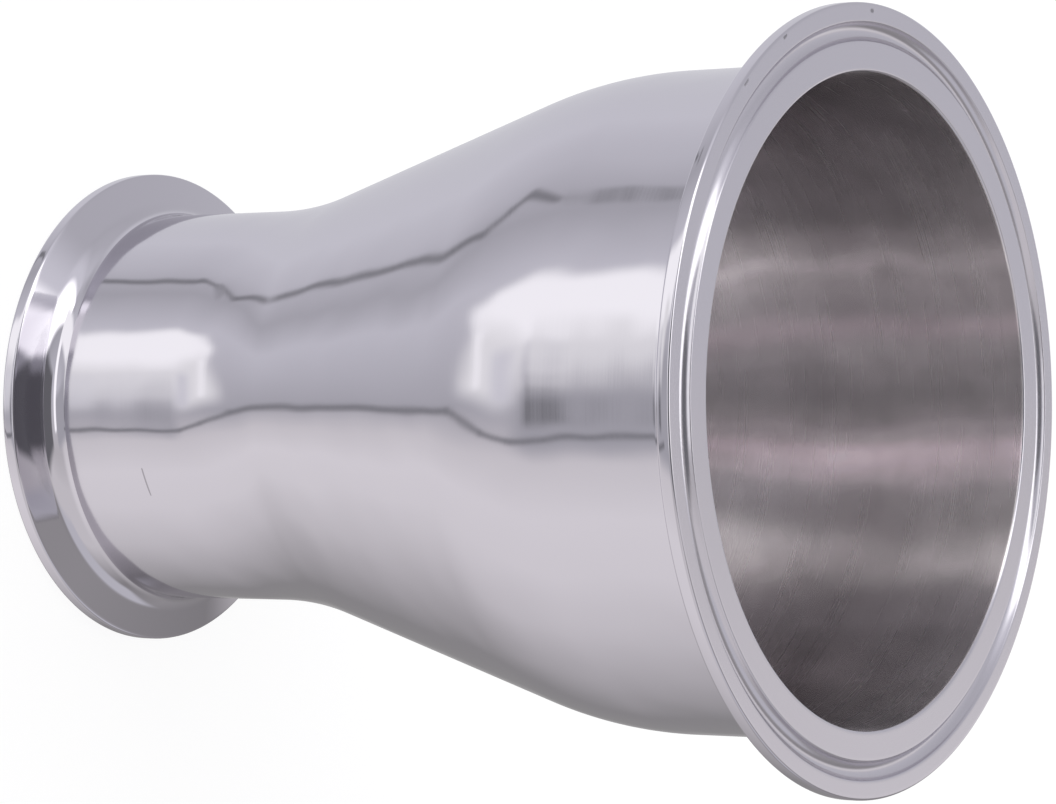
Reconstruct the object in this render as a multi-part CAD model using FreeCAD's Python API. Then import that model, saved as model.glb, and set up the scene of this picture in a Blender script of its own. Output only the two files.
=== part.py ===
"""Clamp reducer for sanitary tubing, polished stainless steel.

It joins a 4 inch tube line to a 2.5 inch one.  Each end is a clamp flange:
a flat face with a gasket groove turned in it, a short rim, and a back
that tapers at 20 degrees, on which a two-piece clamp draws the joint together.
Between them a drawn shell narrows from one tube to the other: a straight cone
that runs into each tube through a wide bend.

The two flanged tube ends are welded to the shell, and every weld is ground
flush and polished away inside and out, so the finished fitting is one body.

The frame: +Z runs along the bore, the origin is the centre of the small
flange's face, and the fitting stands on that face with the large end up.
Sizes are in millimetres.
"""
import FreeCAD, Part
import math
import os
from collections import namedtuple

# Tubes at the two ends, outside diameter, and the wall they share
LARGE_TUBE = 101.6
SMALL_TUBE = 63.5
WALL = 1.65

# How far each flange stands out past its tube: 119 mm and 77.5 mm across
LARGE_FLANGE_REACH = 8.7
SMALL_FLANGE_REACH = 7.0

# Flange section: height of the rim, slope of the back, round of the neck
RIM_HEIGHT = 2.1
BACK_TAPER = 20.0
NECK_FILLET = 3.5

# Legs of the small bevels that break the sharp edges
FACE_BEVEL = 0.4
BACK_BEVEL = 0.3
BORE_BEVEL = 0.45

# Gasket groove with sloping flanks, set in from the rim so that its mean
# diameter is 110.3 mm on the large face and 70.6 mm on the small one
LARGE_GROOVE_INSET = 4.35
SMALL_GROOVE_INSET = 3.45
GROOVE_WIDTH = 3.2
GROOVE_FLOOR = 1.2
GROOVE_DEPTH = 1.2

# Straight tube at each end, measured from the flange's face
STRAIGHT_END = 28.6

# Drawn shell between the straight ends, and the bends of its outer skin
SHELL_LENGTH = 80.0
SMALL_BEND = 60.0
LARGE_BEND = 68.0

OVERALL_LENGTH = 2 * STRAIGHT_END + SHELL_LENGTH
TUBE_STEP = (LARGE_TUBE - SMALL_TUBE) / 2

# One flanged end; into is +1 where the fitting lies above its face
End = namedtuple("End", "tube_r reach groove_inset face_z into")
SMALL_END = End(SMALL_TUBE / 2, SMALL_FLANGE_REACH, SMALL_GROOVE_INSET, 0.0, 1)
LARGE_END = End(LARGE_TUBE / 2, LARGE_FLANGE_REACH, LARGE_GROOVE_INSET, OVERALL_LENGTH, -1)


def point(r, z):
    """A point of the half section: r out from the axis, z along it."""
    return FreeCAD.Vector(r, 0, z)


def path(points):
    """Straight lines from each point to the next."""
    return [Part.makeLine(a, b) for a, b in zip(points, points[1:])]


def corner_arc(start, corner, finish):
    """The arc that touches both legs of a corner, at start and at finish."""
    back = (start - corner).normalize()
    on = (finish - corner).normalize()
    half = back.getAngle(on) / 2
    radius = (start - corner).Length * math.tan(half)
    towards_centre = (back + on).normalize()
    middle = corner + towards_centre * (radius / math.sin(half) - radius)
    return Part.Arc(start, middle, finish).toShape()


def cut_corner(before, corner, after, leg):
    """Where a bevel or a round that takes leg off each line starts and ends.

    A leg that the lines have no room for is made smaller.
    """
    back = before - corner
    on = after - corner
    leg = min(leg, 0.48 * back.Length, 0.48 * on.Length)
    return corner + back.normalize() * leg, corner + on.normalize() * leg


def flanged_end(end):
    """Half section of one end, from its bore round the flange to its neck."""

    def at(r, behind):
        """A point of this end's section, a distance behind its face."""
        return point(r, end.face_z + end.into * behind)

    bore_r = end.tube_r - WALL
    rim_r = end.tube_r + end.reach
    groove_r = rim_r - end.groove_inset
    neck = RIM_HEIGHT + end.reach * math.tan(math.radians(BACK_TAPER))
    bore_end = at(bore_r, STRAIGHT_END)
    bore_corner = at(bore_r, 0)
    groove = [
        at(groove_r - GROOVE_WIDTH / 2, 0),
        at(groove_r - GROOVE_FLOOR / 2, GROOVE_DEPTH),
        at(groove_r + GROOVE_FLOOR / 2, GROOVE_DEPTH),
        at(groove_r + GROOVE_WIDTH / 2, 0),
    ]
    face_corner = at(rim_r, 0)
    back_corner = at(rim_r, RIM_HEIGHT)
    neck_corner = at(end.tube_r, neck)
    neck_end = at(end.tube_r, STRAIGHT_END)

    turn = math.radians(90 - BACK_TAPER)
    bore_bevel = cut_corner(bore_end, bore_corner, groove[0], BORE_BEVEL)
    face_bevel = cut_corner(groove[-1], face_corner, back_corner, FACE_BEVEL)
    back_bevel = cut_corner(face_corner, back_corner, neck_corner, BACK_BEVEL)
    neck_round = cut_corner(back_corner, neck_corner, neck_end, NECK_FILLET * math.tan(turn / 2))
    edges = path([bore_end, *bore_bevel, *groove, *face_bevel, *back_bevel, neck_round[0]])
    edges.append(corner_arc(neck_round[0], neck_corner, neck_round[1]))
    edges += path([neck_round[1], neck_end])
    return edges


def shell_bends():
    """The two outer bend radii, smaller where a short shell has no room."""
    most = 0.95 * (SHELL_LENGTH ** 2 + TUBE_STEP ** 2) / (2 * TUBE_STEP)
    scale = min(1.0, most / (SMALL_BEND + LARGE_BEND))
    return SMALL_BEND * scale, LARGE_BEND * scale


def cone_slope():
    """Angle to the axis of the straight cone that touches both bends."""
    both = sum(shell_bends())
    centres_apart = math.hypot(SHELL_LENGTH, both - TUBE_STEP)
    return math.asin(both / centres_apart) - math.atan2(both - TUBE_STEP, SHELL_LENGTH)


def shell_skin(inward):
    """One skin of the drawn shell, a distance inward from the outer one."""
    small_bend, large_bend = shell_bends()
    small_r = SMALL_TUBE / 2 - inward
    large_r = LARGE_TUBE / 2 - inward
    small_leg = (small_bend + inward) * math.tan(cone_slope() / 2)
    large_leg = (large_bend - inward) * math.tan(cone_slope() / 2)
    bottom = STRAIGHT_END
    top = STRAIGHT_END + SHELL_LENGTH
    small_corner = point(small_r, bottom + small_leg)
    large_corner = point(large_r, top - large_leg)
    along_cone = (large_corner - small_corner).normalize()
    cone_start = small_corner + along_cone * small_leg
    cone_finish = large_corner - along_cone * large_leg
    return [
        corner_arc(point(small_r, bottom), small_corner, cone_start),
        Part.makeLine(cone_start, cone_finish),
        corner_arc(cone_finish, large_corner, point(large_r, top)),
    ]


def reducer():
    """The whole fitting: its half section turned once round the bore."""
    edges = flanged_end(SMALL_END) + flanged_end(LARGE_END)
    edges += shell_skin(0.0) + shell_skin(WALL)
    outline = Part.Wire(Part.__sortEdges__(edges))
    section = Part.Face(outline)
    return section.revolve(point(0, 0), FreeCAD.Vector(0, 0, 1), 360)


os.makedirs("parts", exist_ok=True)
body = reducer()
body.exportStep("parts/reducer.step")
box = body.optimalBoundingBox(True, False)
print("length", round(box.ZLength, 3))
print("across the large flange", round(box.XLength, 3))
print("cone slope, degrees", round(math.degrees(cone_slope()), 3))
print("volume, cm3", round(body.Volume / 1000, 3), "valid", body.isValid())
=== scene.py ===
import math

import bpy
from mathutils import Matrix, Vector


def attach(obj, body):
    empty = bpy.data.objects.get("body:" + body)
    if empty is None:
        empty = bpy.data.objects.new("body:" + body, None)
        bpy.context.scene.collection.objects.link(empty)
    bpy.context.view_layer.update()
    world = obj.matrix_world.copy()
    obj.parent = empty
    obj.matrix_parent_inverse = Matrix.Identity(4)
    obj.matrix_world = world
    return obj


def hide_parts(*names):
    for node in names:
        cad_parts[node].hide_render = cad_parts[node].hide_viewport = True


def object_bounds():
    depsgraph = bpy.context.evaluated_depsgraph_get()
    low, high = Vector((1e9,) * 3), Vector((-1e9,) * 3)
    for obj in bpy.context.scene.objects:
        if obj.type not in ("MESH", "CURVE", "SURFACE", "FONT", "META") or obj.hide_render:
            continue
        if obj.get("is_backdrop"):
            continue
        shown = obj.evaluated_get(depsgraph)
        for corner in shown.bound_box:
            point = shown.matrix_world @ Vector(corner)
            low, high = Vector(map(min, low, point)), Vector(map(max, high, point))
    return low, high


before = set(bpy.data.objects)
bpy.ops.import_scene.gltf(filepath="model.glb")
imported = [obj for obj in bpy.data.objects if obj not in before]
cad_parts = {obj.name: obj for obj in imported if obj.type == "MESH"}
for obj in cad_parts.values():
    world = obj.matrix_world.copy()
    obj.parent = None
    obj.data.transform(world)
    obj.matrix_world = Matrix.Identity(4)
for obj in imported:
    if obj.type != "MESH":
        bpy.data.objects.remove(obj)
cad_low, cad_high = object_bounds()

# %% [markdown]
# This lesson dresses a sanitary clamp reducer: a polished stainless steel
# fitting that joins a wide tube to a narrow one.  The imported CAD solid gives
# its place and size.  The skin is drawn from the same half section, with
# rounds where the solid has bevels.  The fitting stands on its small flange,
# with its bore along +Z.  The photograph shows it lying down, so the camera is
# rolled a quarter turn.

MM = 0.001


def linear(colour):
    """A hex colour as a screen shows it, turned into Blender's linear light."""
    channels = [int(colour[i:i + 2], 16) / 255 for i in (1, 3, 5)]
    return [c / 12.92 if c <= 0.04045 else ((c + 0.055) / 1.055) ** 2.4
            for c in channels] + [1.0]


def node(tree, kind, inputs=None, **settings):
    """Adds a node; an input is a number, a colour or another node's output."""
    made = tree.nodes.new("ShaderNode" + kind)
    for name, value in settings.items():
        setattr(made, name, value)
    for key, value in (inputs or {}).items():
        if isinstance(value, bpy.types.NodeSocket):
            tree.links.new(value, made.inputs[key])
        else:
            made.inputs[key].default_value = value
    return made


print("CAD box", [round(v / MM, 2) for v in (*cad_low, *cad_high)], "mm")

# %% [markdown]
# The sizes are those of the CAD section.  The tube walls are 1.65 mm, each
# flange has a 2.1 mm rim and a back that tapers at 20 degrees, and the drawn
# shell between the two straight ends has wide bends that touch a cone.

# %% Sizes of the half section, in millimetres
LARGE_TUBE = 101.6
SMALL_TUBE = 63.5
WALL = 1.65
LARGE_REACH = 8.7
SMALL_REACH = 7.0
RIM_HEIGHT = 2.1
BACK_TAPER = math.radians(20.0)
NECK_FILLET = 3.5
STRAIGHT_END = 28.6
SHELL_LENGTH = 80.0
SMALL_BEND = 60.0
LARGE_BEND = 68.0
LENGTH = 2 * STRAIGHT_END + SHELL_LENGTH

# Rounds that a lathe tool and the polishing wheel leave on the edges
FACE_ROUND = 0.4
BACK_ROUND = 0.3
BORE_ROUND = 0.45
GROOVE_RADIUS = 1.48
GROOVE_DEPTH = 1.2
LIP_ROUND = 0.25
LARGE_GROOVE_INSET = 4.35
SMALL_GROOVE_INSET = 3.45

print("length", LENGTH, "mm, large flange",
      LARGE_TUBE + 2 * LARGE_REACH, "mm across")

# %% [markdown]
# The real part is turned and drawn, so all of it is one outline swept round
# the bore.  It could be stacked from cylinders and cones, but the joints
# between them would show as breaks in the reflections.  Here the half section
# is drawn as one chain of edges instead, in edit mode: a vertex is extruded
# along each straight run and spun round each arc, and one last spin about the
# bore makes the skin.  A run has a ring of vertices close to both ends, which
# keeps the smooth shading of the arcs from leaking into the flat parts.

# %% A pen that draws the section
RING_STEPS = 256
SUPPORT = 0.35
# Steps in the arc of an edge, a flange's back, a neck, a lip, a groove's bottom and a bend
EDGE_STEPS, BACK_STEPS, NECK_STEPS = 6, 5, 16
LIP_STEPS, GROOVE_STEPS, BEND_STEPS = 5, 18, 28


def only(*objects):
    """Selects these objects alone and makes the first one active."""
    bpy.ops.object.select_all(action="DESELECT")
    for item in objects:
        item.select_set(True)
    bpy.context.view_layer.objects.active = objects[0]


class Pen:
    """Draws a chain of edges in the XZ plane, with r along X, in millimetres."""

    def __init__(self, name, r, z):
        bpy.ops.object.select_all(action="DESELECT")
        bpy.ops.mesh.primitive_plane_add(size=MM, location=(r * MM, 0, z * MM))
        self.piece = bpy.context.object
        self.piece.name = name
        self.piece.data.name = name
        bpy.ops.object.transform_apply(location=True)
        bpy.ops.object.mode_set(mode="EDIT")
        bpy.ops.mesh.select_all(action="SELECT")
        bpy.ops.mesh.merge(type="CENTER")
        self.at = Vector((r, z))

    def move(self, r, z):
        step = (Vector((r, z)) - self.at) * MM
        bpy.ops.mesh.extrude_vertices_move(
            TRANSFORM_OT_translate={"value": (step.x, 0, step.y)})
        self.at = Vector((r, z))

    def run(self, r, z):
        """A straight run, with a support vertex near each end of a long one."""
        start, end = self.at.copy(), Vector((r, z))
        length = (end - start).length
        if length > 4 * SUPPORT:
            for share in (SUPPORT / length, 1 - SUPPORT / length):
                self.move(*start.lerp(end, share))
        self.move(r, z)

    def arc(self, centre, angle, steps):
        """Turns the last vertex about a centre, angle counted from +r to +z."""
        centre = Vector(centre)
        bpy.ops.mesh.spin(
            steps=steps, angle=angle, axis=(0, 1, 0),
            center=(centre.x * MM, 0, centre.y * MM))
        arm = self.at - centre
        arm.rotate(Matrix.Rotation(angle, 2))
        self.at = centre + arm

    def corner(self, corner, after, leg, steps):
        """Runs to a corner and rounds it on the way to the point after it."""
        corner, after = Vector(corner), Vector(after)
        back = (self.at - corner).normalized()
        on = (after - corner).normalized()
        half = back.angle(on) / 2
        self.run(*(corner + back * leg))
        centre = corner + (back + on).normalized() * leg / math.cos(half)
        side = math.copysign(1, (-back).x * on.y - (-back).y * on.x)
        self.arc(centre, side * (math.pi - 2 * half), steps)


print("the pen draws in steps of", round(360 / RING_STEPS, 2), "degrees round the bore")

# %% [markdown]
# The chain goes once round the wall: out over the small flange's face, up its
# back, along the outer skin to the large flange, over that face, and down the
# inner skin.  Each flange is drawn by one function that works from either
# side, since the large flange is the small one turned over.

# %% The corners of one flanged end
def end_corners(tube, reach, groove_inset, face, into):
    """Points (r, z) of one end; into is +1 where the fitting is above its face."""
    rim = tube / 2 + reach
    neck = RIM_HEIGHT + reach * math.tan(BACK_TAPER)
    return {
        "bore": (tube / 2 - WALL, face),
        "groove": (rim - groove_inset, face + into * (GROOVE_DEPTH - GROOVE_RADIUS)),
        "face": (rim, face),
        "back": (rim, face + into * RIM_HEIGHT),
        "neck": (tube / 2, face + into * neck),
        "tube": (tube / 2, face + into * STRAIGHT_END),
        "into": into,
    }


small = end_corners(SMALL_TUBE, SMALL_REACH, SMALL_GROOVE_INSET, 0.0, 1)
large = end_corners(LARGE_TUBE, LARGE_REACH, LARGE_GROOVE_INSET, LENGTH, -1)
NECK_LEG = NECK_FILLET * math.tan((math.pi / 2 - BACK_TAPER) / 2)
for name in ("face", "back", "neck"):
    print(name, [round(v, 3) for v in small[name] + large[name]])

# %% [markdown]
# The gasket groove has a round bottom, and its two lips are eased.  The lips
# are arcs that touch both the flat face and the groove's own arc, so their
# centres lie at a known distance from the groove's centre.

# %% The gasket groove and the drawn shell
def groove(pen, end, outwards):
    """Draws the groove from lip to lip; outwards is +1 from bore to rim."""
    into = end["into"]
    centre_r, centre_z = end["groove"]
    face_z = end["face"][1]
    lip_z = face_z + into * LIP_ROUND
    rise = (lip_z - centre_z) * into
    reach = math.sqrt((GROOVE_RADIUS + LIP_ROUND) ** 2 - rise ** 2)
    lean = math.atan2(reach, rise)
    turn = -into * outwards
    pen.run(centre_r - outwards * reach, face_z)
    pen.arc((centre_r - outwards * reach, lip_z), -turn * lean, LIP_STEPS)
    pen.arc((centre_r, centre_z), turn * 2 * lean, GROOVE_STEPS)
    pen.arc((centre_r + outwards * reach, lip_z), -turn * lean, LIP_STEPS)


def cone_corners(inward):
    """The two corners that the shell's bends round off, and their legs."""
    step = (LARGE_TUBE - SMALL_TUBE) / 2
    both = SMALL_BEND + LARGE_BEND
    slope = math.asin(both / math.hypot(SHELL_LENGTH, both - step))
    slope -= math.atan2(both - step, SHELL_LENGTH)
    small_leg = (SMALL_BEND + inward) * math.tan(slope / 2)
    large_leg = (LARGE_BEND - inward) * math.tan(slope / 2)
    low = (SMALL_TUBE / 2 - inward, STRAIGHT_END + small_leg)
    high = (LARGE_TUBE / 2 - inward, STRAIGHT_END + SHELL_LENGTH - large_leg)
    return low, high, small_leg, large_leg


print("cone from", [round(v, 2) for v in cone_corners(0)[0]], "to",
      [round(v, 2) for v in cone_corners(0)[1]])

# %% [markdown]
# Now the pen goes round.  It starts in the middle of the small tube's bore and
# comes back there, so the last vertex falls on the first one.

# %% The whole half section
START = (SMALL_TUBE / 2 - WALL, STRAIGHT_END / 2)
pen = Pen("reducer_skin", *START)

pen.corner(small["bore"], small["face"], BORE_ROUND, EDGE_STEPS)
groove(pen, small, 1)
pen.corner(small["face"], small["back"], FACE_ROUND, EDGE_STEPS)
pen.corner(small["back"], small["neck"], BACK_ROUND, BACK_STEPS)
pen.corner(small["neck"], small["tube"], NECK_LEG, NECK_STEPS)

low, high, small_leg, large_leg = cone_corners(0)
pen.corner(low, high, small_leg, BEND_STEPS)
pen.corner(high, large["tube"], large_leg, BEND_STEPS)

pen.corner(large["neck"], large["back"], NECK_LEG, NECK_STEPS)
pen.corner(large["back"], large["face"], BACK_ROUND, BACK_STEPS)
pen.corner(large["face"], large["bore"], FACE_ROUND, EDGE_STEPS)
groove(pen, large, -1)
low, high, small_leg, large_leg = cone_corners(WALL)
pen.corner(large["bore"], high, BORE_ROUND, EDGE_STEPS)
pen.corner(high, low, large_leg, BEND_STEPS)
pen.corner(low, START, small_leg, BEND_STEPS)
pen.run(*START)

section = pen.piece
print("section drawn, the pen ends at", [round(v, 4) for v in pen.at])

# %% [markdown]
# One full turn makes the skin.  Spinning leaves a seam of doubled vertices,
# so they are merged first and the normals are worked out afterwards.

# %% Spinning the section
SAME_PLACE = 0.01
SHARP = math.radians(35)

bpy.ops.mesh.select_all(action="SELECT")
bpy.ops.mesh.spin(steps=RING_STEPS, angle=2 * math.pi, center=(0, 0, 0), axis=(0, 0, 1))
bpy.ops.mesh.select_all(action="SELECT")
bpy.ops.mesh.remove_doubles(threshold=SAME_PLACE * MM)
bpy.ops.mesh.normals_make_consistent(inside=False)
bpy.ops.object.mode_set(mode="OBJECT")
only(section)
bpy.ops.object.shade_smooth_by_angle(angle=SHARP)

skin = section.data
print("faces", len(skin.polygons), "vertices", len(skin.vertices))

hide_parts("reducer")
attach(section, "root")

# %% [markdown]
# Everything is one metal, stainless steel of grade 304, and every part of it
# is polished or brushed, so its look is in how it was finished.  Belts and
# lathe tools run round the fitting and leave fine lines that go round the
# axis.  Light then spreads across the lines, along the section, so each
# reflection is drawn out that way.  The lines could be a texture wrapped
# round the tube, but a texture needs a seam.  Noise read at a point that
# turns slowly with the angle and climbs quickly along the section has none.

# %% Lines round the axis
# A radius in the middle of the fitting's range, in mm, where a line has its full length
MIDDLE_RADIUS = 45


def lay(tree, spacing, length):
    """Noise drawn out round the axis: lines this far apart and this long, in mm."""
    place = node(tree, "TexCoord").outputs["Object"]
    flat = node(tree, "VectorMath", {0: place, 1: (1, 1, 0)}, operation="MULTIPLY")
    radius = node(tree, "VectorMath", {0: flat.outputs[0]}, operation="LENGTH")
    outward = node(tree, "VectorMath", {0: flat.outputs[0]}, operation="NORMALIZE")
    round_it = node(tree, "VectorMath", {
        0: outward.outputs[0], "Scale": MIDDLE_RADIUS / length}, operation="SCALE")
    height = node(tree, "SeparateXYZ", {0: place})
    along = node(tree, "Math", {
        0: height.outputs["Z"], 1: radius.outputs["Value"]}, operation="ADD")
    along = node(tree, "Math", {0: along.outputs[0], 1: 1 / (spacing * MM)}, operation="MULTIPLY")
    lift = node(tree, "CombineXYZ", {"Z": along.outputs[0]})
    spot = node(tree, "VectorMath", {0: round_it.outputs[0], 1: lift.outputs[0]}, operation="ADD")
    noise = node(tree, "TexNoise", {
        "Vector": spot.outputs[0], "Scale": 1.0, "Detail": 2.0, "Roughness": 0.6})
    return noise.outputs["Fac"]


print("a line round the large tube is up to", round(math.pi * LARGE_TUBE), "mm long")

# %% [markdown]
# Two more things belong to a polished fitting.  A drawn and belted surface is
# never quite true, and slow waves a few tenths of a millimetre deep bend
# every straight reflection a little.  And it carries marks: a scratch on the
# small tube, a spot where the belt changed direction above the weld, nicks on
# the large face and a small brighter spot in the bore.  Painted marks would
# need a texture, so each one is a short line in space with a width and a soft
# edge, and the steel is dull and dark near that line, but brighter at the spot in the bore.

# %% A mark on the steel
def mark(tree, start, end, width, soft):
    """1 on the line from start to end, as wide as width, and 0 a soft edge away, in mm."""
    start, end = Vector(start) * MM, Vector(end) * MM
    along = end - start
    place = node(tree, "TexCoord").outputs["Object"]
    arm = node(tree, "VectorMath", {0: place, 1: start}, operation="SUBTRACT")
    share = node(tree, "VectorMath", {
        0: arm.outputs[0], 1: along / along.length_squared}, operation="DOT_PRODUCT")
    share = node(tree, "Clamp", {"Value": share.outputs["Value"]})
    nearest = node(tree, "VectorMath", {0: along, "Scale": share.outputs[0]}, operation="SCALE")
    away = node(tree, "VectorMath", {
        0: arm.outputs[0], 1: nearest.outputs[0]}, operation="DISTANCE")
    fade = node(tree, "MapRange", {
        "Value": away.outputs["Value"], "From Min": (width / 2 + soft) * MM,
        "From Max": width / 2 * MM}, interpolation_type="SMOOTHSTEP")
    return fade.outputs[0]


BODY_MARKS = [
    # start, end, width, soft edge, added roughness, share of light left
    ((10.0, -30.2, 21.5), (14.2, -28.5, 21.9), 0.15, 0.15, 0.1, 0.6),
    ((-18.4, -26.2, 34.0), (-17.6, -26.9, 34.6), 0.4, 1.4, 0.05, 0.85),
]
FACE_MARKS = [
    ((-52.8, -26.4, 137.2), (-52.4, -26.9, 137.2), 0.3, 0.3, 0.1, 0.5),
    ((-45.6, -37.4, 137.2), (-44.9, -38.2, 137.2), 0.2, 0.3, 0.1, 0.6),
    ((-58.3, -0.7, 137.2), (-58.3, -0.3, 137.2), 0.3, 0.3, 0.1, 0.5),
]
# A small spot where the bore's colour is made brighter
BORE_MARKS = [((-44.9, 20.1, 131.4), (-44.7, 20.1, 131.8), 0.3, 0.3, 0.0, 1.4)]
print(len(BODY_MARKS + FACE_MARKS + BORE_MARKS), "marks on the steel")

# %% [markdown]
# The brushed bore shows broad bands of reflected light along it, pale and
# dark by turns and a little pink where they are pale.  Light that drops in at
# the open end gathers on each fine groove, so that every line along the bore
# reflects a tone of its own.  Real grooves are far finer than a shader's even
# roughness, which blurs that away, so here the bands are painted reflections:
# a ramp of painted light and shade in the steel's colour round the axis, bent
# by slow noise so that no band is straight, and blotched by a quicker one.  A
# ramp closes on itself at the near side of the bore, where its first and last
# stops are the same.

# %% Painted reflections: bands along the bore
BORE_PAINTED_REFLECTIONS = [
    # angle round the axis from the far side, level of painted light, pinkness
    (-180, 0.85, 0), (-150, 1.0, 0), (-125, 0.8, 0), (-100, 1.0, 0), (-75, 0.85, 0),
    (-60, 0.77, 0), (-45, 0.74, 0), (-36, 0.68, 0), (-31, 0.9, 0), (-27, 1.27, 0),
    (-24, 1.0, 0), (-18, 0.9, 0), (-14, 1.15, 0.03), (-10, 1.0, 0), (-6, 0.78, 0),
    (-2, 0.68, 0), (2, 0.74, 0), (5, 1.0, 0.01), (9, 1.3, 0.035), (13, 1.12, 0.02),
    (17, 0.88, 0), (23, 0.86, 0), (29, 1.15, 0), (34, 1.22, 0), (40, 1.02, 0),
    (52, 1.02, 0), (62, 1.2, 0), (85, 0.85, 0), (110, 1.0, 0), (145, 0.8, 0),
    (180, 0.85, 0),
]
# How far a band wanders round the axis and over what length, and the size of a blotch, in mm
WANDER = math.radians(9)
WANDER_SIZE = 22
BLOTCH_SIZE = 9
BLOTCH_DEPTH = 0.12
# The values that a noise texture mostly stays between
NOISE_LOW, NOISE_HIGH = 0.3, 0.7


def bands(tree, colour, painted_tones):
    """Painted reflections: the colour times a level of painted light that changes round the axis
    and wanders a little along it.
    """
    here = node(tree, "TexCoord").outputs["Object"]
    parts = node(tree, "SeparateXYZ", {0: here})
    angle = node(tree, "Math", {
        0: parts.outputs["X"], 1: parts.outputs["Y"]}, operation="ARCTAN2")
    drift = node(tree, "TexNoise", {
        "Vector": here, "Scale": 1 / (WANDER_SIZE * MM), "Detail": 2.0})
    angle = node(tree, "Math", {
        0: drift.outputs["Fac"], 1: WANDER, 2: angle.outputs[0]}, operation="MULTIPLY_ADD")
    turn = node(tree, "MapRange", {
        "Value": angle.outputs[0],
        "From Min": WANDER / 2 - math.pi, "From Max": WANDER / 2 + math.pi})
    # Each stop of this ramp is painted light: a pale or dark band of reflection in the colour
    ramp = node(tree, "ValToRGB", {0: turn.outputs[0]})
    ramp.color_ramp.interpolation = "EASE"
    elements = ramp.color_ramp.elements
    while len(elements) < len(painted_tones):
        elements.new(0.5)
    red, green, blue, _ = linear(colour)
    for element, (place, tone, pink) in zip(elements, painted_tones):
        element.position = (place + 180) / 360
        element.color = (red * tone * (1 + pink), green * tone * (1 - pink), blue * tone, 1)
    blotch = node(tree, "TexNoise", {
        "Vector": here, "Scale": 1 / (BLOTCH_SIZE * MM), "Detail": 3.0})
    blotch = node(tree, "MapRange", {
        "Value": blotch.outputs["Fac"], "From Min": NOISE_LOW, "From Max": NOISE_HIGH,
        "To Min": 1 - BLOTCH_DEPTH, "To Max": 1 + BLOTCH_DEPTH})
    toned = node(tree, "VectorMath", {
        0: ramp.outputs["Color"], "Scale": blotch.outputs[0]}, operation="SCALE")
    return toned.outputs[0]


print(len(BORE_PAINTED_REFLECTIONS), "tones round the bore")

# %% [markdown]
# One function makes the four finishes.  Roughness starts from typical values:
# under 0.1 for a belt polish or a turned edge that mirrors, 0.2 for a faced
# flange, and 0.27 for a brushed bore, which mirrors round the tube but hardly
# along it.  The lines vary it by a fifth either way, and less in the bore.
# Real lines are a few hundredths of a millimetre apart, too fine to show here,
# so they are drawn ten times as coarse, and shallower to match.

# %% The four finishes of the steel
# Moves the waves along the bore, so that one falls where the smudge is
WAVE_SHIFT = (0.0, 0.0, 2.6 * MM)
# Turns the direction in which light spreads from round the axis to along the section
ACROSS = 0.25


def steel(name, colour, roughness, stretch, lines, waves, marks=(), mottle=0.2, painted_tones=()):
    """Stainless steel; lines is (spacing, length, depth) and waves (size, depth), in mm."""
    made = bpy.data.materials.new(name)
    made.use_nodes = True
    tree = made.node_tree
    shader = tree.nodes["Principled BSDF"]
    shader.inputs["Base Color"].default_value = linear(colour)
    shader.inputs["Metallic"].default_value = 1.0
    shader.inputs["Anisotropic"].default_value = stretch
    shader.inputs["Anisotropic Rotation"].default_value = ACROSS
    round_axis = node(tree, "Tangent", direction_type="RADIAL", axis="Z")
    tree.links.new(round_axis.outputs["Tangent"], shader.inputs["Tangent"])

    spacing, length, depth = lines
    streaks = lay(tree, spacing, length)
    size, swell = waves
    place = node(tree, "TexCoord").outputs["Object"]
    shifted = node(tree, "VectorMath", {0: place, 1: WAVE_SHIFT}, operation="ADD")
    wave = node(tree, "TexNoise", {
        "Vector": shifted.outputs[0], "Scale": 1 / (size * MM), "Detail": 1.0})
    rolled = node(tree, "Bump", {
        "Height": wave.outputs["Fac"], "Strength": 1.0, "Distance": swell * MM})
    scored = node(tree, "Bump", {
        "Height": streaks, "Strength": 1.0, "Distance": depth * MM, "Normal": rolled.outputs[0]})
    tree.links.new(scored.outputs[0], shader.inputs["Normal"])
    spread = node(tree, "MapRange", {
        "Value": streaks, "To Min": roughness * (1 - mottle), "To Max": roughness * (1 + mottle)})
    dull = spread.outputs[0]
    # In the bore the colour carries painted reflections, bands of light and shade round the axis
    shade = bands(tree, colour, painted_tones) if painted_tones else None
    for start, end, width, soft, added, left in marks:
        spot = mark(tree, start, end, width, soft)
        dull = node(tree, "Math", {0: spot, 1: added, 2: dull}, operation="MULTIPLY_ADD").outputs[0]
        mark_colour = [min(1.0, left * channel) for channel in linear(colour)[:3]] + [1.0]
        mixed = node(tree, "Mix", {
            0: spot, 6: shade or linear(colour), 7: mark_colour}, data_type="RGBA")
        shade = mixed.outputs[2]
    tree.links.new(dull, shader.inputs["Roughness"])
    if shade:
        tree.links.new(shade, shader.inputs["Base Color"])
    print(name, "roughness", roughness, "lines", spacing, "mm apart")
    return made


OUTSIDE = "#C8C5CC"
INSIDE = "#D9D4D6"
# A belt polish mirrors softly, with long faint lines
polished = steel("stainless_belt_polished", OUTSIDE, 0.085, 0.5,
                 lines=(0.35, 30, 0.0015), waves=(14, 0.22), marks=BODY_MARKS)
# A buffed lathe cut mirrors sharply
bright = steel("stainless_turned_bright", OUTSIDE, 0.05, 0.3,
               lines=(0.3, 60, 0.0005), waves=(20, 0.03))
# A faced flange is even and satin
faced = steel("stainless_faced", OUTSIDE, 0.2, 0.6,
              lines=(0.25, 120, 0.001), waves=(25, 0.02), marks=FACE_MARKS)
# The brushed bore scatters light along the tube, and bands of light round the tube are painted into
# its colour
brushed = steel("stainless_brushed_bore", INSIDE, 0.27, 1.0,
                lines=(0.4, 40, 0.0001), waves=(12, 0.2), marks=BORE_MARKS,
                mottle=0.05, painted_tones=BORE_PAINTED_REFLECTIONS)
for finish in (polished, bright, faced, brushed):
    section.data.materials.append(finish)

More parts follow.
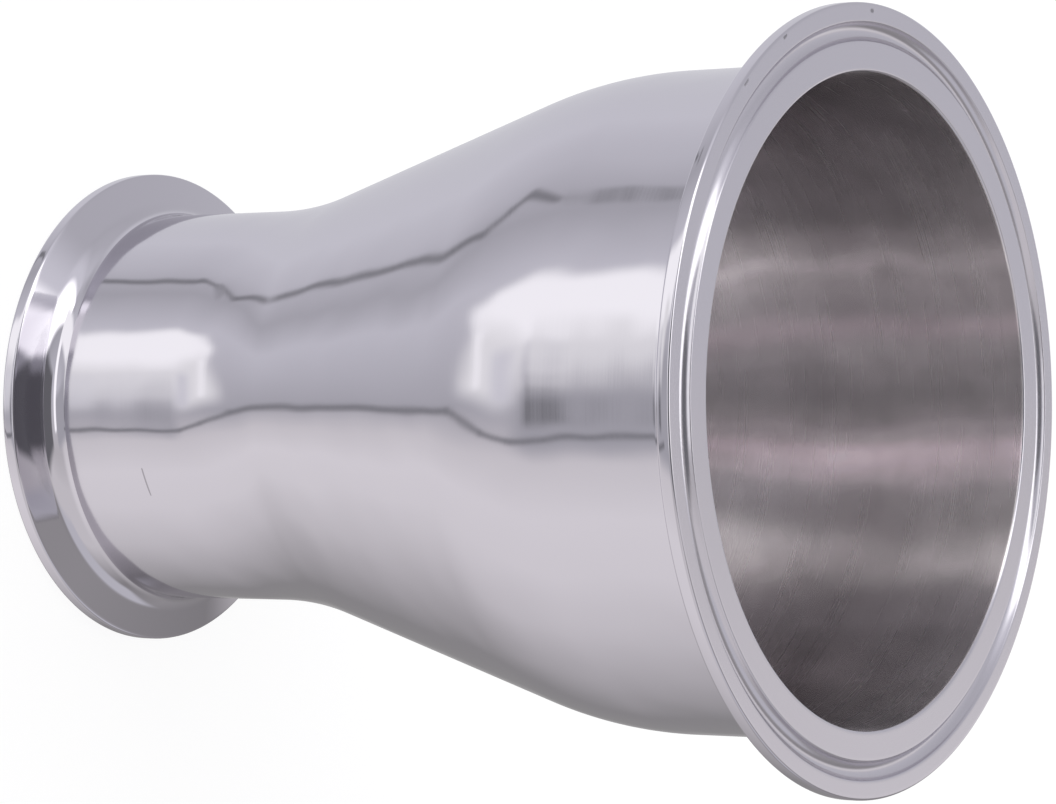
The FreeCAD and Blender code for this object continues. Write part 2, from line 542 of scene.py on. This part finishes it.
# %% [markdown]
# The finishes go where the tools went: belt on the tubes and the shell, lathe
# and buffing wheel on the rims and backs of the flanges, facing tool on the
# faces and their grooves, and a flap brush inside.  All of it is one skin, so
# a face gets its finish from where its middle is and which way it looks.  The
# edges between finishes are the real edges of the section.

# %% Each finish in its place
# Room for rounding in a face's height, and for the round at the bore's edge, in mm
NEAR = 0.01
EDGE = 0.2
# A normal's share away from the axis: under INWARD in the bore, over OUTWARD outside
INWARD = -0.8
OUTWARD = -0.1


def put(finish, chosen):
    """Gives a finish to the faces whose middle and normal pass the test."""
    slot = section.data.materials.find(finish.name)
    count = 0
    for face in section.data.polygons:
        r = math.hypot(face.center.x, face.center.y) / MM
        z = face.center.z / MM
        out = (face.normal.x * face.center.x + face.normal.y * face.center.y) / (r * MM)
        if chosen(r, z, out, face.normal.z):
            face.material_index = slot
            count += 1
    print(finish.name, count, "faces")


NECK_SMALL = small["neck"][1] + NECK_LEG
NECK_LARGE = large["neck"][1] - NECK_LEG
put(polished, lambda r, z, out, up: True)
put(bright, lambda r, z, out, up: out > OUTWARD and (z < NECK_SMALL or z > NECK_LARGE))
put(faced, lambda r, z, out, up:
    (z < GROOVE_DEPTH + NEAR and r < small["face"][0] - FACE_ROUND)
    or (z > LENGTH - GROOVE_DEPTH - NEAR and r < large["face"][0] - FACE_ROUND))
put(brushed, lambda r, z, out, up:
    out < INWARD and r < large["bore"][0] + EDGE
    and not (z < GROOVE_DEPTH + NEAR and r > small["bore"][0] + EDGE))

# %% [markdown]
# A polished fitting shows nothing of its own but the room round it, so the
# room decides how it looks.  Product photographers put such a thing in a tent
# of white cloth, with softboxes outside and black cards where an edge needs a
# dark line.  Here the floor comes first: plain white paper.  For the camera
# it glows white by itself, and a little of its white is left to the light, so
# the fitting's shadow stays on it.  The steel mirrors the tent, not the
# paper, because the fitting lies well away from any table in the photograph.

# %% The floor
FLOOR_SIZE = 6.0
# What the camera sees of the paper's own white, and the share of light that it sends back
GLOW = 0.86
PAPER = 0.2

bpy.ops.object.select_all(action="DESELECT")
bpy.ops.mesh.primitive_plane_add(size=FLOOR_SIZE, location=(0, 0, 0))
floor = bpy.context.object
floor.name = "floor"
floor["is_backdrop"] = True
floor.visible_glossy = False
floor.visible_transmission = False
floor.visible_shadow = False
paper = bpy.data.materials.new("white_paper")
paper.use_nodes = True
paper.cycles.emission_sampling = "NONE"
tree = paper.node_tree
tree.nodes.clear()
seen = node(tree, "LightPath").outputs["Is Camera Ray"]
glow = node(tree, "Emission", {"Color": (GLOW, GLOW, GLOW, 1), "Strength": seen})
matt = node(tree, "BsdfDiffuse", {"Color": (PAPER, PAPER, PAPER, 1)})
both = node(tree, "AddShader", {0: glow.outputs[0], 1: matt.outputs[0]})
node(tree, "OutputMaterial", {"Surface": both.outputs[0]})
floor.data.materials.append(paper)
print("floor", [round(v, 2) for v in floor.dimensions], "m")

# %% [markdown]
# The tent is the world's own shader: a level of light for each direction, so
# it is the same from every side and costs no lamps.  A direction is given by
# two angles in degrees, as on a globe.  Azimuth 0 is towards the camera,
# positive to the right of someone who looks at the standing fitting, and
# elevation is up from the floor.  The cloth has one row of levels for what
# hangs low and one for what hangs high.  A level of 1 is white.  Rays that
# leave the metal find the tent by themselves, so Cycles is told not to search
# it for bright spots as well, which makes the render twice as quick.

# %% The cloth of the tent
scene = bpy.context.scene
world = bpy.data.worlds.new("light_tent")
scene.world = world
world.use_nodes = True
world.cycles.sampling_method = "NONE"
tree = world.node_tree
tree.nodes.clear()
direction = node(tree, "TexCoord").outputs["Generated"]
parts = node(tree, "SeparateXYZ", {0: direction})
towards = node(tree, "Math", {0: parts.outputs["Y"], 1: -1.0}, operation="MULTIPLY")
azimuth = node(tree, "Math", {0: parts.outputs["X"], 1: towards.outputs[0]}, operation="ARCTAN2")
turn = node(tree, "MapRange", {
    "Value": azimuth.outputs[0], "From Min": -math.pi, "From Max": math.pi})

LOW_CLOTH = [
    # azimuth, level
    (-180, 0.68), (-115, 0.87), (-92, 0.78), (-70, 0.6), (-48, 0.84), (-15, 0.69),
    (2, 0.61), (20, 0.92), (40, 1.05), (62, 1.01), (90, 0.82), (115, 0.58),
    (140, 0.34), (160, 0.31), (180, 0.5),
]
HIGH_CLOTH = [
    (-180, 0.74), (-150, 0.69), (-120, 0.65), (-95, 0.69), (-75, 0.83), (-45, 0.6),
    (-10, 0.82), (25, 0.71), (45, 0.86), (80, 0.86), (110, 0.36), (135, 0.43),
    (158, 0.33), (170, 1.05), (180, 0.73),
]
# How high a direction points, from -1 to 1, where the low row ends and the high one begins
LOW_ROW_END = -0.35
HIGH_ROW_START = 0.0
# White light, each a little off it: the cloth on the left, on the right, and the lamps
COOL = (0.985, 0.985, 1.045)
WARM = (1.01, 0.985, 0.995)
LAMP = (0.99, 0.99, 0.985)


def cloth(levels):
    """A band of cloth all round: its level at each azimuth, cool left and warm right."""
    made = node(tree, "ValToRGB", {0: turn.outputs[0]})
    elements = made.color_ramp.elements
    while len(elements) < len(levels):
        elements.new(0.5)
    for element, (place, level) in zip(elements, levels):
        element.position = (place + 180) / 360
        element.color = (*(level * share for share in (WARM if place > 10 else COOL)), 1)
    return made.outputs["Color"]


height = node(tree, "MapRange", {
    "Value": parts.outputs["Z"], "From Min": LOW_ROW_END, "From Max": HIGH_ROW_START},
    interpolation_type="SMOOTHSTEP")
tent = node(tree, "Mix", {
    0: height.outputs[0], 6: cloth(LOW_CLOTH), 7: cloth(HIGH_CLOTH)},
    data_type="RGBA").outputs[2]
levels = [level for _, level in LOW_CLOTH + HIGH_CLOTH]
print("cloth levels from", min(levels), "to", max(levels))

# %% [markdown]
# Softboxes and black cards are flat, so each is a strip that runs from one
# direction to another with a width in degrees.  A direction is on the card
# where its shares across and along the card, divided by its share towards the
# card, are small: the view of a flat thing through a pinhole.  The edges are
# soft because the cloth spreads them.  Five narrow cards, each shorter, wider
# and darker than the one before, make the smudge under the soft box on the
# wide end.

# %% A card in the tent
# The least share towards a card, so that what lies behind the fitting is never on it
IN_FRONT = 0.001


def look(azimuth, elevation):
    """The unit vector from the fitting towards a place in the tent."""
    a, e = math.radians(azimuth), math.radians(elevation)
    return Vector((math.cos(e) * math.sin(a), -math.cos(e) * math.cos(a), math.sin(e)))


def hang(tent, start, end, width, level, soft, spare=0.0):
    """Hangs a card from start to end; width, soft edge and spare length in degrees."""
    start, end = look(*start), look(*end)
    centre = (start + end).normalized()
    along = (end - start).normalized()
    length = math.degrees(start.angle(end)) + spare
    depth = node(tree, "VectorMath", {0: direction, 1: centre}, operation="DOT_PRODUCT")
    depth = node(tree, "Math", {0: depth.outputs["Value"], 1: IN_FRONT}, operation="MAXIMUM")
    masks = []
    for side, size in ((along.cross(centre), width), (along, length)):
        share = node(tree, "VectorMath", {0: direction, 1: side}, operation="DOT_PRODUCT")
        share = node(tree, "Math", {
            0: share.outputs["Value"], 1: depth.outputs[0]}, operation="DIVIDE")
        share = node(tree, "Math", {0: share.outputs[0]}, operation="ABSOLUTE")
        edge, blur = math.tan(math.radians(size / 2)), math.radians(soft)
        masks.append(node(tree, "MapRange", {
            "Value": share.outputs[0], "From Min": edge + blur, "From Max": edge - blur},
            interpolation_type="SMOOTHSTEP").outputs[0])
    mask = node(tree, "Math", {0: masks[0], 1: masks[1]}, operation="MULTIPLY")
    tint = LAMP if level > 1 else COOL
    tone = (*(level * share for share in tint), 1)
    return node(tree, "Mix", {0: mask.outputs[0], 6: tent, 7: tone}, data_type="RGBA").outputs[2]


CARDS = [
    # start, end, width, level, soft edge
    ((126, 49), (96, 27), 52, 0.76, 6),
    ((160, 60), (-60, 5), 27, 0.95, 7),
    ((167, 66), (-50, 1), 22, 2.2, 3),
    ((11, 85), (2, 37), 36, 0.2, 3.5),
    ((-52, 15), (13, 17), 12, 1.7, 2),
    ((0, -38), (8, 12), 29, 0.58, 4),
    ((-46, 22), (-26, -50), 20.5, 1.5, 3),
    ((-26, -41), (-1, -49), 18, 1.19, 4),
    ((-16, -30), (-18, -35), 22, 1.18, 2.5),
    ((-40, -32), (-36, -47), 9, 1.5, 3),
    ((-20, -42), (0, -42.5), 4, 0.95, 2.5),
    ((-30, -49), (-6, -50.5), 2.5, 1.5, 1.5),
    ((-22, -34.8), (8, -34.8), 0.4, 0.9, 2),
    ((-16, -34.8), (8, -34.8), 0.8, 0.7, 2),
    ((-11, -34.7), (8, -34.7), 1.2, 0.5, 2),
    ((-6, -34.6), (8, -34.6), 1.6, 0.32, 2),
    ((-1, -34.5), (8, -34.5), 1.8, 0.15, 2),
    ((-75, -31.95), (-75, -31.3), 5, 0.12, 1.2),
]
for start, end, width, level, soft in CARDS:
    tent = hang(tent, start, end, width, level, soft)
print(len(CARDS), "cards hung")

# %% [markdown]
# The two thin dark lines along the body are the seams of the tent, where the
# sheets of cloth meet at its two front corners.  A seam is a chain of narrow
# strips through a few places, each a little longer than its part of the
# chain, so that they meet.

# %% The two seams
SEAMS = [
    # corners, width, level, soft edge
    ([(-76, -35), (-82, -40), (-80, -45), (-74.5, -51.5), (-89, -63)], 2, 0.3, 0.9),
    ([(12, -30), (14, -40), (11, -50), (4, -61), (3, -74)], 1.6, 0.3, 0.8),
]
for corners, width, level, soft in SEAMS:
    for start, end in zip(corners, corners[1:]):
        tent = hang(tent, start, end, width, level, soft, spare=width)

light_path = node(tree, "LightPath")
WHITE = (1, 1, 1, 1)
seen = node(tree, "Mix", {
    0: light_path.outputs["Is Camera Ray"], 6: tent, 7: WHITE}, data_type="RGBA")
shine = node(tree, "Background", {"Color": seen.outputs[2], "Strength": 1.0})
node(tree, "OutputWorld", {"Surface": shine.outputs[0]})
print("world nodes", len(tree.nodes))

# %% [markdown]
# The camera stands where the photographer's was, worked out from the ellipses
# of the two flanges.  It looks down at the large face from a third of the way
# up, and it is rolled a quarter turn, so that +Z points right in the picture
# and the fitting seems to lie on its side.  A long lens keeps the two flanges
# nearly in proportion.  The Standard view shows each colour as it is written.

# %% The camera
data = bpy.data.cameras.new("camera")
camera = bpy.data.objects.new("camera", data)
scene.collection.objects.link(camera)
scene.camera = camera
data.lens = 142.348
data.sensor_width = 36.0
right = Vector((0.00545158, 0.54908126, 0.83575119))
up = Vector((-0.99997873, 0.0, 0.00652284))
back = Vector((0.00358157, -0.83576897, 0.54906958))
turned = Matrix((right, up, back)).transposed().to_4x4()
turned.translation = Vector((0.00207265, -0.54979468, 0.43619697))
camera.matrix_world = turned
data.clip_start, data.clip_end = 0.01, 20

scene.view_settings.view_transform = "Standard"
print("camera", round(turned.translation.length, 3), "m from the small face, lens", data.lens, "mm")

# %% [markdown]
# Last come the sizes.  The skin has to fill the imported CAD box and stay
# inside it, so the largest gap between the two boxes is printed.

# %% Sizes and the end
low_corner, high_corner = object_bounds()
gaps = [abs(a - b) / MM
        for a, b in zip((*cad_low, *cad_high), (*low_corner, *high_corner))]
print("largest gap between the boxes", round(max(gaps), 3), "mm")
